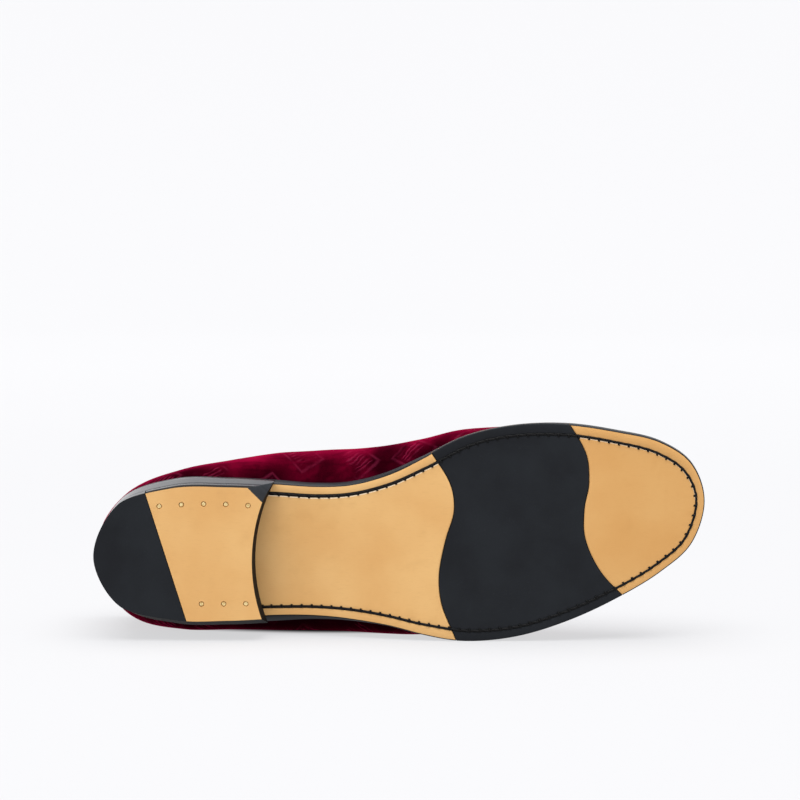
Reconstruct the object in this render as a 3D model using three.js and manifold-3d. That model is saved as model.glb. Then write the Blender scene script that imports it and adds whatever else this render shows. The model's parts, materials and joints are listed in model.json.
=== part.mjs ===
// Left velvet loafer lying on its outer side. Sizes are millimetres.
// The shoe is worked out standing: x runs from heel to toe along the heel's own axis,
// y towards the outer side and z up from the tread. The last group lays it on its side.
import * as THREE from "three";
import { mergeVertices } from "three/addons/utils/BufferGeometryUtils.js";
import Module from "manifold-3d";

const wasm = await Module();
wasm.setup();

// Driving sizes of the shoe
const HEEL_BACK = { x: -2.6, y: 0.3 };
const TOE_TIP = { x: 285.4, y: -23.5 };
const GAP = 0.3;

// Sole, heel and welt thicknesses
const OUTSOLE = 4.6;
const SEAT_BACK = 20.5;
const SEAT_SLOPE = 0.045;
const SEAT_END = 86;
const BALL_REAR = 168;
const BALL_FRONT = 205;
const TOE_SPRING = 9;
const WELT = 2.2;
const WELT_SETBACK = 0.6;
const WELT_CLEAR = 1.1;
const INSOLE = 2.2;
const INSERT_DEPTH = 2.4;

// Upper
const WALL = 2.8;
const THROAT_ROW = 6;
const HEEL_PIVOT_ROW = 2;
const TOE_PIVOT_ROW = 12;
const WIDEST_SHARE = 0.34;
const FOOT_UPRIGHT = 0.42;
const SIDE_UPRIGHT = 0.45;

// Heel
const TOP_LIFT = 6.2;
const HEEL_FLARE = { back: 0.5, inner: 2.8, outer: 4.1 };
const FLARE_BEND = { inner: 7, outer: 2.3 };
const BREAST_TREAD = { x: 72, y: 4, radius: 82 };
const BREAST_SEAT = { x: 72.6, y: 0, radius: 62 };
const BREAST_RISE = 17.4;
const TIP_JOINT = { inner: 22.1, outer: 40.6, y: 30 };
const CLIP = { x: 71.6, y: -30.2, leg: 6.2, rise: 5.8 };

// Brass nails: rows along the heel, bow of the row towards the edge, first nail and count
const NAIL_RADIUS = 1.1;
const NAIL_LENGTH = 5;
const NAIL_SUNK = 0.2;
const NAIL_PITCH = 10.4;
const NAIL_ROWS = [
  { name: "inner", y: -23.2, bow: -0.9, first: 28.9, count: 5 },
  { name: "outer", y: 23, bow: 0, first: 48.2, count: 3 },
];

// Resting on the outer side: roll past upright, and turn in the plane of the sole
const LIE_ROLL = 1.17;
const LIE_TURN = -0.41;

// Edge of the sole: distance from the heel axis to the inner and outer edge
const SOLE_ROWS = [
  { x: 10, inner: 25.3, outer: 26.7 },
  { x: 36, inner: 34.4, outer: 34.6 },
  { x: 60, inner: 34.7, outer: 35.1 },
  { x: 82, inner: 33.6, outer: 34.2 },
  { x: 102, inner: 32.2, outer: 33.2 },
  { x: 118, inner: 33.1, outer: 33.4 },
  { x: 135, inner: 37.7, outer: 35.2 },
  { x: 152, inner: 45.4, outer: 38.7 },
  { x: 172, inner: 55.0, outer: 41.4 },
  { x: 195, inner: 60, outer: 39.5 },
  { x: 220, inner: 60.7, outer: 32.3 },
  { x: 243, inner: 57.3, outer: 22.2 },
  { x: 264, inner: 51.9, outer: 10.2 },
  { x: 279, inner: 41.4, outer: -2.9 },
];

// Upper around the foot: set-in of its lower edge, overhang of its widest line past the sole
// on each side, and height of that line above the lower edge on each side
const SIDE_ROWS = [
  { x: 0, setIn: 2, inner: 1.2, outer: 1.6, innerRise: 14, outerRise: 14 },
  { x: 10, setIn: 2, inner: 0, outer: 3.5, innerRise: 12.5, outerRise: 12.5 },
  { x: 22, setIn: 2, inner: 0.7, outer: 4.9, innerRise: 11, outerRise: 11 },
  { x: 40, setIn: 2.2, inner: 2.6, outer: 4.7, innerRise: 11.5, outerRise: 11 },
  { x: 64, setIn: 2.8, inner: 6.8, outer: 4.8, innerRise: 18, outerRise: 12 },
  { x: 88, setIn: 3.8, inner: 11.3, outer: 6.4, innerRise: 23, outerRise: 13 },
  { x: 112, setIn: 4.2, inner: 13.2, outer: 7.3, innerRise: 25, outerRise: 15 },
  { x: 135, setIn: 4.6, inner: 10.6, outer: 5.6, innerRise: 22, outerRise: 13 },
  { x: 160, setIn: 5.4, inner: 4.3, outer: 0.4, innerRise: 18, outerRise: 13 },
  { x: 188, setIn: 5.8, inner: -1.2, outer: -2, innerRise: 15, outerRise: 15 },
  { x: 220, setIn: 6, inner: -2.4, outer: -2.4, innerRise: 14, outerRise: 14 },
  { x: 285, setIn: 6.4, inner: -2.6, outer: -2.6, innerRise: 13, outerRise: 13 },
];

// Bevel of the sole's bottom edge on each side
const BEVEL_ROWS = [
  { x: 40, inner: 0.5, outer: 0.5 },
  { x: 62, inner: 1.2, outer: 2.6 },
  { x: 82, inner: 1.6, outer: 3.2 },
  { x: 102, inner: 1.4, outer: 2.2 },
  { x: 122, inner: 1.3, outer: 1 },
  { x: 145, inner: 1, outer: 0.4 },
  { x: 162, inner: 0.2, outer: 0 },
  { x: 200, inner: 0, outer: 0 },
  { x: 230, inner: 0.6, outer: 0.2 },
  { x: 285, inner: 0.4, outer: 0.4 },
];

// Ridge of the last over the foot: height above the tread and fullness of the section.
// Behind the throat it is the line that the quarters lean towards.
const RIDGE_ROWS = [
  { x: 36, height: 122, full: 0.58 },
  { x: 60, height: 116, full: 0.56 },
  { x: 88, height: 102, full: 0.54 },
  { x: 118, height: 86, full: 0.52 },
  { x: 140, height: 75, full: 0.52 },
  { x: 165, height: 64, full: 0.54 },
  { x: 195, height: 53.5, full: 0.56 },
  { x: 220, height: 47, full: 0.58 },
  { x: 243, height: 41.5, full: 0.6 },
];

// Topline of the quarters: height above the tread
const TOPLINE_ROWS = [
  { x: 0, height: 78 },
  { x: 20, height: 75 },
  { x: 45, height: 68 },
  { x: 70, height: 66 },
  { x: 95, height: 71.5 },
  { x: 118, height: 86 },
];

// Wavy ends of the rubber half sole
const WAVE_ROWS = [
  { y: -72, rear: 141.3, front: 213.5 },
  { y: -48, rear: 155.8, front: 228.4 },
  { y: -33, rear: 164.9, front: 230.4 },
  { y: -20, rear: 166.7, front: 228.1 },
  { y: -6, rear: 162.6, front: 228.6 },
  { y: 10, rear: 159.5, front: 236.2 },
  { y: 24, rear: 160.6, front: 249.6 },
  { y: 38, rear: 166.1, front: 264 },
  { y: 52, rear: 172, front: 278 },
];

// Rows of the sole's edge at which the welt begins and which the heel block passes
const WELT_ROW = 4;
const HEEL_ROW = 5;

// Fineness of the faceted solids, and reach of the cutters past the heel's sides
const STEPS_PER_ROW = 4;
const UPPER_STEPS = 12;
const LOW_STEPS = 1.3;
const WAVE_STEPS = 4;
const BREAST_STEPS = 24;
const NAIL_SIDES = 14;
const HALVINGS = 40;
const SLICE = 1e-3;
const REACH = 50;

const LAST_ROW = SOLE_ROWS.length + 1;
const COLUMNS = 2 * LAST_ROW * STEPS_PER_ROW;
const rowAt = (row) => row / (2 * LAST_ROW);

// Smooth value of one column of a table at a place along it
function along(rows, key, column, place) {
  const last = rows.length - 1;
  const at = THREE.MathUtils.clamp(place, rows[0][key], rows[last][key]);
  let i = 0;
  while (i < last - 1 && at > rows[i + 1][key]) i += 1;
  const slope = (k) => {
    const a = rows[Math.max(k - 1, 0)];
    const b = rows[Math.min(k + 1, last)];
    return (b[column] - a[column]) / (b[key] - a[key]);
  };
  const span = rows[i + 1][key] - rows[i][key];
  const s = (at - rows[i][key]) / span;
  const from = rows[i][column];
  const to = rows[i + 1][column];
  const rise = s * s * (3 - 2 * s);
  const leave = s * (1 - s) * (1 - s) * span * slope(i);
  const arrive = s * s * (s - 1) * span * slope(i + 1);
  return from + (to - from) * rise + leave + arrive;
}

// Edge of the sole seen from above, from the heel's back round the outer side to the toe and home
const edge = new THREE.CatmullRomCurve3(
  [
    new THREE.Vector3(HEEL_BACK.x, HEEL_BACK.y, 0),
    ...SOLE_ROWS.map((r) => new THREE.Vector3(r.x, r.outer, 0)),
    new THREE.Vector3(TOE_TIP.x, TOE_TIP.y, 0),
    ...SOLE_ROWS.map((r) => new THREE.Vector3(r.x, -r.inner, 0)).reverse(),
  ],
  true,
  "centripetal",
);
const turn = (t) => t - Math.floor(t);
const edgeAt = (t) => edge.getPoint(turn(t));
const sideOf = (t) => (turn(t) <= 0.5 ? "outer" : "inner");

// A point set in from the edge, square to it: the edge runs clockwise seen from above
function setIn(t, distance) {
  const ahead = edgeAt(t + SLICE).sub(edgeAt(t - SLICE)).normalize();
  const inward = new THREE.Vector3(ahead.y, -ahead.x, 0);
  return edgeAt(t).addScaledVector(inward, distance);
}

// Height of the outsole's bottom: heel seat, arch, flat tread and toe spring
function bottomAt(x) {
  if (x <= SEAT_END) return SEAT_BACK - SEAT_SLOPE * x;
  if (x < BALL_REAR) {
    const span = BALL_REAR - SEAT_END;
    const s = (x - SEAT_END) / span;
    const seat = SEAT_BACK - SEAT_SLOPE * SEAT_END;
    return seat * (1 - s) * (1 - s) * (1 + 2 * s) - SEAT_SLOPE * span * s * (1 - s) * (1 - s);
  }
  if (x <= BALL_FRONT) return 0;
  return TOE_SPRING * ((x - BALL_FRONT) / (TOE_TIP.x - BALL_FRONT)) ** 2;
}

// Halfway line of the shoe at a turn of the edge, fixed at the two pivots of heel and toe
function spineAt(t) {
  const outerTurn = turn(t) <= 0.5 ? turn(t) : 1 - turn(t);
  const kept = THREE.MathUtils.clamp(outerTurn, rowAt(HEEL_PIVOT_ROW), rowAt(TOE_PIVOT_ROW));
  const outer = edgeAt(kept);
  const inner = edgeAt(1 - kept);
  const x = (outer.x + inner.x) / 2;
  const lean = along(SIDE_ROWS, "x", "outer", x) - along(SIDE_ROWS, "x", "inner", x);
  const height = along(RIDGE_ROWS, "x", "height", x);
  return new THREE.Vector3(x, (outer.y + inner.y + lean) / 2, height);
}

// Fall of the ridge for each millimetre forward
function ridgeFall(t) {
  const here = spineAt(t).x;
  const back = along(RIDGE_ROWS, "x", "height", here - 1);
  const front = along(RIDGE_ROWS, "x", "height", here + 1);
  const last = RIDGE_ROWS[RIDGE_ROWS.length - 1].x;
  return here + 1 > last ? back - along(RIDGE_ROWS, "x", "height", here) : (back - front) / 2;
}

const cubic = (a, b, c, d, s) =>
  a * (1 - s) ** 3 + 3 * b * s * (1 - s) ** 2 + 3 * c * s * s * (1 - s) + d * s ** 3;

// Outer face of the upper: t runs round the edge, v from the lower edge (0) to the ridge (1)
function upperAt(t, v) {
  const foot = edgeAt(t);
  const spine = spineAt(t);
  const side = sideOf(t);
  const out = new THREE.Vector3(foot.x - spine.x, foot.y - spine.y, 0);
  const reach = out.length();
  out.divideScalar(reach);
  const low = bottomAt(foot.x) + OUTSOLE + GAP;
  const rise = along(SIDE_ROWS, "x", `${side}Rise`, foot.x);
  const start = reach - along(SIDE_ROWS, "x", "setIn", foot.x);
  const wide = reach + along(SIDE_ROWS, "x", side, foot.x);
  const widest = low + rise;
  let r;
  let z;
  if (v <= WIDEST_SHARE) {
    const s = v / WIDEST_SHARE;
    r = cubic(start, start, wide, wide, s);
    z = cubic(low, low + FOOT_UPRIGHT * rise, widest - SIDE_UPRIGHT * rise, widest, s);
  } else {
    const s = (v - WIDEST_SHARE) / (1 - WIDEST_SHARE);
    const full = along(RIDGE_ROWS, "x", "full", spine.x);
    const crown = spine.z - ridgeFall(t) * out.x * full * wide;
    r = cubic(wide, wide, full * wide, 0, s);
    z = cubic(widest, widest + full * (spine.z - widest), crown, spine.z, s);
  }
  return new THREE.Vector3(spine.x + out.x * r, spine.y + out.y * r, z);
}

// Share of the section at which the upper reaches a height
function shareAtHeight(t, height) {
  let low = 0;
  let high = 1;
  for (let i = 0; i < HALVINGS; i += 1) {
    const middle = (low + high) / 2;
    if (upperAt(t, middle).z < height) low = middle;
    else high = middle;
  }
  return (low + high) / 2;
}

const outerTurnOf = (t) => Math.min(turn(t), 1 - turn(t));
const isOpen = (t) => outerTurnOf(t) < rowAt(THROAT_ROW - SLICE);

// Share of the section at which the upper ends: the topline behind the throat, the ridge before it
function topShare(t) {
  return isOpen(t) ? shareAtHeight(t, along(TOPLINE_ROWS, "x", "height", edgeAt(t).x)) : 1;
}

// Inner face of the upper, one wall further in
function liningAt(t, v) {
  const point = upperAt(t, v);
  if (v === 1) {
    const fall = ridgeFall(t);
    return point.addScaledVector(new THREE.Vector3(fall, 0, 1).normalize(), -WALL);
  }
  const round = upperAt(t + SLICE, v).sub(upperAt(t - SLICE, v));
  const up = upperAt(t, Math.min(v + SLICE, 1)).sub(upperAt(t, Math.max(v - SLICE, 0)));
  return point.addScaledVector(up.cross(round).normalize(), -WALL);
}

// Triangles gathered as points, three to a face
class Faces {
  constructor() {
    this.points = [];
  }
  triangle(a, b, c) {
    this.points.push(a, b, c);
  }
  quad(a, b, c, d) {
    this.triangle(a, b, c);
    this.triangle(a, c, d);
  }
  // Closed solid with shared corners, without the faces that a pole folds to a line
  solid() {
    const raw = new THREE.BufferGeometry().setFromPoints(this.points);
    const merged = mergeVertices(raw, SLICE);
    const corners = merged.index.array;
    const kept = [];
    for (let i = 0; i < corners.length; i += 3) {
      const [a, b, c] = [corners[i], corners[i + 1], corners[i + 2]];
      if (a !== b && b !== c && c !== a) kept.push(a, b, c);
    }
    return solidOf(merged.attributes.position.array, kept);
  }
}

function solidOf(vertProperties, triangles) {
  const triVerts = new Uint32Array(triangles);
  return new wasm.Manifold(new wasm.Mesh({ numProp: 3, vertProperties, triVerts }));
}

// A closed three.js geometry as a solid
function solidFrom(geometry) {
  const bare = new THREE.BufferGeometry();
  bare.setAttribute("position", geometry.attributes.position);
  bare.setIndex(geometry.index);
  const merged = mergeVertices(bare, SLICE);
  return solidOf(merged.attributes.position.array, merged.index.array);
}

const turns = Array.from({ length: COLUMNS }, (_, j) => j / COLUMNS);
const next = (list, j) => list[(j + 1) % list.length];

// Hollow wall of the upper
function makeUpper() {
  const faces = new Faces();
  const column = (t, face) => {
    const top = topShare(t);
    const share = (i) => (i / UPPER_STEPS) ** LOW_STEPS;
    const steps = Array.from({ length: UPPER_STEPS + 1 }, (_, i) => top * share(i));
    return steps.map((v) => face(t, v));
  };
  const outer = turns.map((t) => column(t, upperAt));
  const inner = turns.map((t) => column(t, liningAt));
  turns.forEach((t, j) => {
    const [o, p, i, q] = [outer[j], next(outer, j), inner[j], next(inner, j)];
    for (let k = 0; k < UPPER_STEPS; k += 1) {
      faces.quad(o[k], o[k + 1], p[k + 1], p[k]);
      faces.quad(i[k], q[k], q[k + 1], i[k + 1]);
    }
    faces.quad(o[0], p[0], q[0], i[0]);
    if (isOpen(t) || isOpen(next(turns, j))) {
      const top = UPPER_STEPS;
      faces.quad(o[top], i[top], q[top], p[top]);
    }
  });
  return faces.solid();
}

// Flat piece that follows the sole: its low and high edges are functions of the turn
function slab(lowAt, highAt) {
  const faces = new Faces();
  const low = turns.map(lowAt);
  const high = turns.map(highAt);
  const half = COLUMNS / 2;
  for (let j = 0; j < half; j += 1) {
    const [mate, mateNext] = [(COLUMNS - j) % COLUMNS, COLUMNS - j - 1];
    faces.quad(high[j], high[mate], high[mateNext], high[j + 1]);
    faces.quad(low[j], low[j + 1], low[mateNext], low[mate]);
  }
  turns.forEach((_, j) => faces.quad(low[j], high[j], next(high, j), next(low, j)));
  return faces.solid();
}

const lifted = (point, depth) => point.setZ(bottomAt(point.x) + depth);
const bevelAt = (t) => Math.max(0, along(BEVEL_ROWS, "x", sideOf(t), edgeAt(t).x));

// Layer of the outsole between two depths, with its edge set in by its bevel and grown by a margin
function soleLayer(from, to, margin = 0) {
  const bevel = (t, depth) => bevelAt(t) * Math.max(0, 1 - depth / OUTSOLE) - margin;
  return slab(
    (t) => lifted(setIn(t, bevel(t, from)), from),
    (t) => lifted(setIn(t, bevel(t, to)), to),
  );
}

// Upright block between the two waves, drawn in at both by a margin
function waveBlock(margin) {
  const wave = (column, shift) =>
    new THREE.SplineCurve(WAVE_ROWS.map((r) => new THREE.Vector2(r[column] + shift, r.y)));
  const points = WAVE_STEPS * (WAVE_ROWS.length - 1);
  const rear = wave("rear", margin).getPoints(points);
  const front = wave("front", -margin).getPoints(points);
  const shape = new THREE.Shape([...front, ...rear.reverse()]);
  const block = new THREE.ExtrudeGeometry(shape, { depth: 4 * OUTSOLE, bevelEnabled: false });
  return solidFrom(block.translate(0, 0, -OUTSOLE));
}

function makeOutsole() {
  const recess = soleLayer(-OUTSOLE, INSERT_DEPTH + GAP, OUTSOLE).intersect(waveBlock(0));
  return soleLayer(0, OUTSOLE).subtract(recess);
}

function makeInsert() {
  return soleLayer(0, INSERT_DEPTH).intersect(waveBlock(GAP));
}

// Lower edge of the upper, moved in by a distance
function footAt(t, inward) {
  const spine = spineAt(t);
  const foot = upperAt(t, 0);
  const out = foot.clone().sub(spine).setZ(0).normalize();
  return foot.addScaledVector(out, -inward);
}

function makeInsole() {
  const onSole = (t, depth) => lifted(footAt(t, WALL + 3 * GAP), OUTSOLE + GAP + depth);
  return slab(
    (t) => onSole(t, 0),
    (t) => onSole(t, INSOLE),
  );
}

// Strip round the upper from heel breast to heel breast
function makeWelt() {
  const faces = new Faces();
  const from = WELT_ROW * STEPS_PER_ROW - 1;
  const ring = turns.slice(from, COLUMNS - from + 1).map((t) => {
    const inner = footAt(t, -WELT_CLEAR);
    const outer = setIn(t, WELT_SETBACK);
    const base = OUTSOLE + GAP;
    return [
      lifted(inner.clone(), base),
      lifted(outer.clone(), base),
      lifted(outer.clone(), base + WELT),
      lifted(inner.clone(), base + WELT),
    ];
  });
  ring.slice(1).forEach((b, j) => {
    const a = ring[j];
    a.forEach((corner, k) => faces.quad(corner, next(a, k), next(b, k), b[k]));
  });
  const last = ring[ring.length - 1];
  faces.quad(...[...ring[0]].reverse());
  faces.quad(...last);
  return faces.solid();
}

// Solid through stacked loops of equal length, lowest first
function loft(loops) {
  const faces = new Faces();
  const [first, last] = [loops[0], loops[loops.length - 1]];
  const flat = (loop) => loop.map((p) => new THREE.Vector2(p.x, p.y));
  const cap = (loop) => THREE.ShapeUtils.triangulateShape(flat(loop), []);
  const sunwise = THREE.ShapeUtils.isClockWise(flat(first));
  const face = (a, b, c) => (sunwise ? faces.triangle(a, c, b) : faces.triangle(a, b, c));
  cap(first).forEach(([a, b, c]) => faces.triangle(first[a], first[c], first[b]));
  cap(last).forEach(([a, b, c]) => faces.triangle(last[a], last[b], last[c]));
  loops.slice(1).forEach((upper, k) => {
    const lower = loops[k];
    lower.forEach((p, j) => {
      face(p, next(lower, j), next(upper, j));
      face(p, next(upper, j), upper[j]);
    });
  });
  return faces.solid();
}

// How far the tread is set in under the seat at a turn of the edge
function flareAt(t) {
  const out = setIn(t, -1).sub(edgeAt(t));
  const side = sideOf(t);
  const share = Math.abs(out.y) ** FLARE_BEND[side];
  return HEEL_FLARE.back + (HEEL_FLARE[side] - HEEL_FLARE.back) * share;
}

// Outline of the heel at a height, running on past the breast
function heelLoop(heightAt) {
  const span = HEEL_ROW * STEPS_PER_ROW;
  const around = Array.from({ length: 2 * span + 1 }, (_, k) => (k - span) / COLUMNS);
  return around.map((t) => {
    const seat = bottomAt(edgeAt(t).x);
    const height = heightAt(seat);
    const point = setIn(t, flareAt(t) * (1 - height / seat));
    return point.setZ(height);
  });
}

// What the hollow breast leaves open, ahead of the heel: its arc is rounder at the seat
function breastCutter() {
  const hollow = (arc, y) => arc.x + arc.radius - Math.sqrt(arc.radius ** 2 - (y - arc.y) ** 2);
  const arc = (z) => {
    const loop = Array.from({ length: BREAST_STEPS + 1 }, (_, k) => {
      const y = REACH * ((2 * k) / BREAST_STEPS - 1);
      const tread = hollow(BREAST_TREAD, y);
      const seat = hollow(BREAST_SEAT, y);
      return new THREE.Vector3(tread + ((seat - tread) * z) / BREAST_RISE, y, z);
    });
    const ahead = BALL_REAR;
    return [...loop, new THREE.Vector3(ahead, REACH, z), new THREE.Vector3(ahead, -REACH, z)];
  };
  return loft([arc(-OUTSOLE), arc(2 * SEAT_BACK)]);
}

// Wedge that clips the inner front corner, fading out towards the seat
function clipCutter() {
  const triangle = (z) => {
    const shift = (CLIP.leg * z) / CLIP.rise;
    const at = (x, y) => new THREE.Vector3(x + shift / 2, y - shift / 2, z);
    return [
      at(CLIP.x - REACH, CLIP.y - REACH),
      at(CLIP.x + CLIP.leg + REACH, CLIP.y - REACH),
      at(CLIP.x + CLIP.leg + REACH, CLIP.y + CLIP.leg + REACH),
    ];
  };
  return loft([triangle(-OUTSOLE), triangle(2 * SEAT_BACK)]);
}

// Tread of the heel on one side of the slanted joint
function treadBlock(behind) {
  const slant = (TIP_JOINT.outer - TIP_JOINT.inner) / (2 * TIP_JOINT.y);
  const middle = (TIP_JOINT.outer + TIP_JOINT.inner) / 2;
  const shift = behind ? -GAP / 2 : GAP / 2;
  const joint = (y) => new THREE.Vector2(middle + shift + slant * y, y);
  const far = behind ? -REACH : BALL_REAR;
  const corners = [
    joint(-REACH),
    joint(REACH),
    new THREE.Vector2(far, REACH),
    new THREE.Vector2(far, -REACH),
  ];
  const depth = 4 * TOP_LIFT;
  const block = new THREE.ExtrudeGeometry(new THREE.Shape(corners), { depth, bevelEnabled: false });
  return solidFrom(block.translate(0, 0, -TOP_LIFT));
}

const heelCut = (solid) => solid.subtract(breastCutter()).subtract(clipCutter());

function makeHeelStack() {
  return heelCut(loft([heelLoop(() => TOP_LIFT + GAP), heelLoop((seat) => seat - GAP)]));
}

const treadLayer = () => heelCut(loft([heelLoop(() => 0), heelLoop(() => TOP_LIFT)]));

const NAILS = NAIL_ROWS.flatMap((row) =>
  Array.from({ length: row.count }, (_, k) => ({
    name: `nail_${row.name}_${k + 1}`,
    x: row.first + NAIL_PITCH * k,
    y: row.y + row.bow * Math.sin((Math.PI * k) / (row.count - 1)),
  })),
);

// Round bar from a height upwards
function bar(radius, from, length, x, y) {
  const geometry = new THREE.CylinderGeometry(radius, radius, length, NAIL_SIDES);
  geometry.rotateX(Math.PI / 2);
  return geometry.translate(x, y, from + length / 2);
}

function makeTopPiece() {
  let piece = treadLayer().intersect(treadBlock(false));
  for (const nail of NAILS) {
    const depth = NAIL_SUNK + NAIL_LENGTH + GAP;
    const hole = bar(NAIL_RADIUS + GAP, -OUTSOLE, OUTSOLE + depth, nail.x, nail.y);
    piece = piece.subtract(solidFrom(hole));
  }
  return piece;
}

const makeHeelTip = () => treadLayer().intersect(treadBlock(true));
const makeNail = (nail) => bar(NAIL_RADIUS, NAIL_SUNK, NAIL_LENGTH, nail.x, nail.y);

// Geometry of a solid
function geometryOf(solid) {
  const { vertProperties, triVerts } = solid.getMesh();
  const geometry = new THREE.BufferGeometry();
  geometry.setAttribute("position", new THREE.BufferAttribute(vertProperties, 3));
  geometry.setIndex(new THREE.BufferAttribute(triVerts, 1));
  geometry.computeVertexNormals();
  return geometry;
}

const finish = (color, roughness, metalness = 0) =>
  new THREE.MeshStandardMaterial({ color, roughness, metalness });

const VELVET = finish(0x5a0619, 0.9);
const TAN_LEATHER = finish(0xe0ad72, 0.55);
const BLACK_LEATHER = finish(0x1b1b1d, 0.3);
const RUBBER = finish(0x2a2d31, 0.6);
const LINING = finish(0xc9a27a, 0.7);
const BRASS = finish(0xc9a45c, 0.3, 1);

const shoe = new THREE.Group();
function place(name, geometry, material) {
  const mesh = new THREE.Mesh(geometry, material);
  mesh.name = name;
  shoe.add(mesh);
}

place("upper", geometryOf(makeUpper()), VELVET);
place("insole", geometryOf(makeInsole()), LINING);
place("welt", geometryOf(makeWelt()), BLACK_LEATHER);
place("outsole", geometryOf(makeOutsole()), TAN_LEATHER);
place("forefoot_insert", geometryOf(makeInsert()), RUBBER);
place("heel_stack", geometryOf(makeHeelStack()), BLACK_LEATHER);
place("top_piece", geometryOf(makeTopPiece()), TAN_LEATHER);
place("heel_tip", geometryOf(makeHeelTip()), RUBBER);
NAILS.forEach((nail) => place(nail.name, makeNail(nail), BRASS));

// Lay the shoe on its outer side with its sole upright, on the floor at z = 0
shoe.rotation.z = THREE.MathUtils.degToRad(LIE_TURN);
const lying = new THREE.Group();
lying.rotation.x = -THREE.MathUtils.degToRad(90 + LIE_ROLL);
lying.add(shoe);

const loafer = new THREE.Group();
loafer.add(lying);
const box = new THREE.Box3().setFromObject(loafer, true);
const middle = box.getCenter(new THREE.Vector3());
lying.position.set(-middle.x, -middle.y, -box.min.z);

export default loafer;
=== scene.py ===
"""Left velvet loafer lying on its outer side, finished for rendering.

Shapes are worked out in the standing shoe's own frame, in millimetres: x runs from heel to toe,
y towards the outer side and z up from the tread. Each piece is then laid down as the frame lies.
"""
import json
import math

import bmesh
import bpy
import numpy as np
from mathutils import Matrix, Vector
from mathutils.kdtree import KDTree


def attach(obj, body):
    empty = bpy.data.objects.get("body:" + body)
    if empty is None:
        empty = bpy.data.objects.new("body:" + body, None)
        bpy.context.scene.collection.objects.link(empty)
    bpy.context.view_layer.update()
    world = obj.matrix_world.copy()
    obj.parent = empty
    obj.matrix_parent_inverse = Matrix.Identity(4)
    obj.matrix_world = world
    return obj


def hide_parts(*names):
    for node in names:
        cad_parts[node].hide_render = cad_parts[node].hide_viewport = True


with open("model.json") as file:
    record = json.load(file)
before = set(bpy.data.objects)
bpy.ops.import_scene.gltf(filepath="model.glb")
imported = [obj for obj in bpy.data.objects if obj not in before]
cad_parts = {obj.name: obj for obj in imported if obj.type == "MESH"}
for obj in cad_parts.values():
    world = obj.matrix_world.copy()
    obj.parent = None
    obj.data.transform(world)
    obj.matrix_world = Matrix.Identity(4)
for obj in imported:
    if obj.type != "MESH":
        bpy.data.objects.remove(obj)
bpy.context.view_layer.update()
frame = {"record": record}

MM = 0.001
TINY = 1e-12


def table(names, *rows):
    """Rows with named columns as a dict of arrays. The first column is the place along the table."""
    return dict(zip(names.split(), np.array(rows, float).T))


# Sole, heel and welt, as in the part
HEEL_BACK = (-2.6, 0.3)
TOE_TIP = (285.4, -23.5)
GAP = 0.3
OUTSOLE = 4.6
SEAT_BACK = 20.5
SEAT_SLOPE = 0.045
SEAT_END = 86
BALL_REAR = 168
BALL_FRONT = 205
TOE_SPRING = 9
WELT = 2.2
WELT_SETBACK = 0.6
WELT_CLEAR = 1.1
WELT_ROW = 4
INSOLE = 2.2
INSERT_DEPTH = 2.4

# Upper
WALL = 2.8
THROAT_ROW = 6
HEEL_PIVOT_ROW = 2
TOE_PIVOT_ROW = 12
WIDEST_SHARE = 0.34
FOOT_UPRIGHT = 0.42
SIDE_UPRIGHT = 0.45

# Heel and its nails
TOP_LIFT = 6.2
FLARE_BACK, FLARE_INNER, FLARE_OUTER = 0.5, 2.8, 4.1
BEND_INNER, BEND_OUTER = 7, 2.3
BREAST_RISE = 17.4
BREAST = table("z x y radius", (0, 72, 4, 82), (BREAST_RISE, 72.9, 4.7, 79))
JOINT_INNER, JOINT_OUTER, JOINT_Y = 22.1, 40.6, 30
CLIP_X, CLIP_Y, CLIP_LEG, CLIP_RISE = 71.6, -30.2, 6.2, 5.8
NAIL_RADIUS = 1.1
NAIL_LENGTH = 5
NAIL_SUNK = 0.2
NAIL_PITCH = 10.4
# Rows of nails: name, y, bow towards the edge, x of the first and count
NAIL_ROWS = (("inner", -23.2, -0.9, 28.9, 5), ("outer", 23, 0, 48.2, 3))

# How the shoe lies, and the point of its heel tread that the record's mount marks
LIE_ROLL = 1.17
LIE_TURN = -0.41
MOUNT_POINT = (56, 0, 0)

SOLE = table(
    "x inner outer",
    (10, 25.3, 26.7),
    (36, 34.4, 34.6),
    (60, 34.7, 35.1),
    (82, 33.6, 34.2),
    (102, 32.2, 33.2),
    (118, 33.1, 33.4),
    (135, 37.7, 35.2),
    (152, 45.4, 38.7),
    (172, 55.0, 41.4),
    (195, 60, 39.5),
    (220, 60.7, 32.3),
    (243, 57.3, 22.2),
    (264, 51.9, 10.2),
    (279, 41.4, -2.9),
)
# Upper's lower edge, its overhang past the sole and the height of its widest line on each side
SIDE = table(
    "x set_in inner outer inner_rise outer_rise",
    (0, 2, 1.2, 1.6, 14, 14),
    (10, 2, 0, 3.5, 12.5, 12.5),
    (22, 2, 0.7, 4.9, 11, 11),
    (40, 2.2, 2.6, 4.7, 11.5, 11),
    (64, 2.8, 6.8, 4.8, 18, 12),
    (88, 3.8, 11.3, 6.4, 23, 13),
    (112, 4.2, 13.2, 7.3, 25, 15),
    (135, 4.6, 10.6, 5.6, 22, 13),
    (160, 5.4, 4.3, 0.4, 18, 13),
    (188, 5.8, -1.2, -2, 15, 15),
    (220, 6, -2.4, -2.4, 14, 14),
    (285, 6.4, -2.6, -2.6, 13, 13),
)
# Bevel of the sole's bottom edge on each side
BEVEL = table(
    "x inner outer",
    (40, 0.5, 0.5),
    (62, 1.2, 2.6),
    (82, 1.6, 3.2),
    (102, 1.4, 2.2),
    (122, 1.3, 1),
    (145, 1, 0.4),
    (162, 0.2, 0),
    (200, 0, 0),
    (230, 0.6, 0.2),
    (285, 0.4, 0.4),
)
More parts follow.
